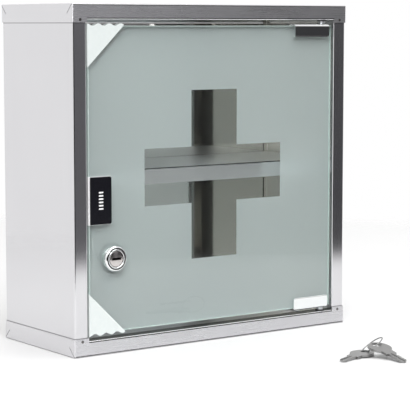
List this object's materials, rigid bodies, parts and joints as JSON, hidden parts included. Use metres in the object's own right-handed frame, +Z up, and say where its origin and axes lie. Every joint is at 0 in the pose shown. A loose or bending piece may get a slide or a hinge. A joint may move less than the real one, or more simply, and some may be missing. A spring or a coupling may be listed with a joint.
{
  "type": "glass door medical cabinet",
  "caption": "Small wall cabinet of folded stainless sheet with a shelf and a frosted glass door that has a clear cross, pivot clips, a push plate over a touch latch, and a cam lock with keys.",
  "frame": {"origin": "middle of the cabinet's base, on the underside of the bottom cap", "axes": "+Z up, -Y out of the glass door's front, +X to the right seen from the front"},
  "size_m": [0.3, 0.2986, 0.3],
  "materials": {
    "stainless_sheet": "brushed stainless sheet",
    "chrome": "polished chrome plate",
    "bright_steel": "bright steel strip",
    "zinc_plated_steel": "zinc plated steel",
    "glass": "clear float glass with ground edges",
    "frosting": "frosted coating",
    "guard_plastic": "white moulded plastic",
    "push_plastic": "black moulded plastic",
    "latch_plastic": "white moulded plastic",
    "nylon": "natural nylon",
    "rubber": "soft black rubber",
    "magnet": "nickel plated magnet",
    "key_nickel": "nickel plated brass"
  },
  "bodies": {
    "cabinet": {"top_cap": "stainless_sheet", "bottom_cap": "stainless_sheet", "left_side_panel": "stainless_sheet", "right_side_panel": "stainless_sheet", "back_panel": "stainless_sheet", "shelf": "stainless_sheet", "top_pivot_bush": "nylon", "bottom_pivot_bush": "nylon", "latch_bracket": "stainless_sheet", "latch_housing": "latch_plastic", "latch_screw_1": "zinc_plated_steel", "latch_screw_2": "zinc_plated_steel", "latch_spring": "zinc_plated_steel"},
    "door": {"door_glass": "glass", "frost_film": "frosting", "top_pivot_clip": "chrome", "top_clip_liner": "rubber", "top_pressure_pad": "rubber", "top_grub_screw_1": "zinc_plated_steel", "top_grub_screw_2": "zinc_plated_steel", "top_pivot_pin": "zinc_plated_steel", "bottom_pivot_clip": "chrome", "bottom_clip_liner": "rubber", "bottom_pressure_pad": "rubber", "bottom_grub_screw_1": "zinc_plated_steel", "bottom_grub_screw_2": "zinc_plated_steel", "bottom_pivot_pin": "zinc_plated_steel", "push_clip": "bright_steel", "push_plate": "push_plastic", "top_corner_guard": "guard_plastic", "bottom_corner_guard": "guard_plastic", "lock_barrel": "chrome", "lock_gasket": "rubber", "lock_washer": "rubber", "lock_nut": "zinc_plated_steel"},
    "lock_core": {"lock_plug": "chrome", "lock_cam": "zinc_plated_steel", "cam_screw": "zinc_plated_steel"},
    "latch_core": {"latch_plunger": "latch_plastic", "latch_magnet": "magnet"},
    "keys": {"key_ring": "key_nickel", "key_1": "key_nickel", "key_2": "key_nickel"}
  },
  "joints": [
    {"name": "door_swing", "type": "hinge", "parent": "cabinet", "child": "door", "pos_m": [0.124, -0.0554, 0.15], "axis": [0, 0, 1], "range_deg": [0, 120]},
    {"name": "lock_turn", "type": "hinge", "parent": "door", "child": "lock_core", "pos_m": [-0.109, -0.05, 0.0825], "axis": [0, 1, 0], "range_deg": [0, 90]},
    {"name": "latch_press", "type": "slide", "parent": "cabinet", "child": "latch_core", "axis": [0, 1, 0], "range_m": [0, 0.003], "stiffness_N_per_m": 600, "springref_m": -0.004, "deforming": ["latch_spring"]},
    {"name": "keys_lift", "type": "slide", "parent": "cabinet", "child": "keys", "axis": [0, 0, 1], "range_m": [0, 0.06]}
  ]
}
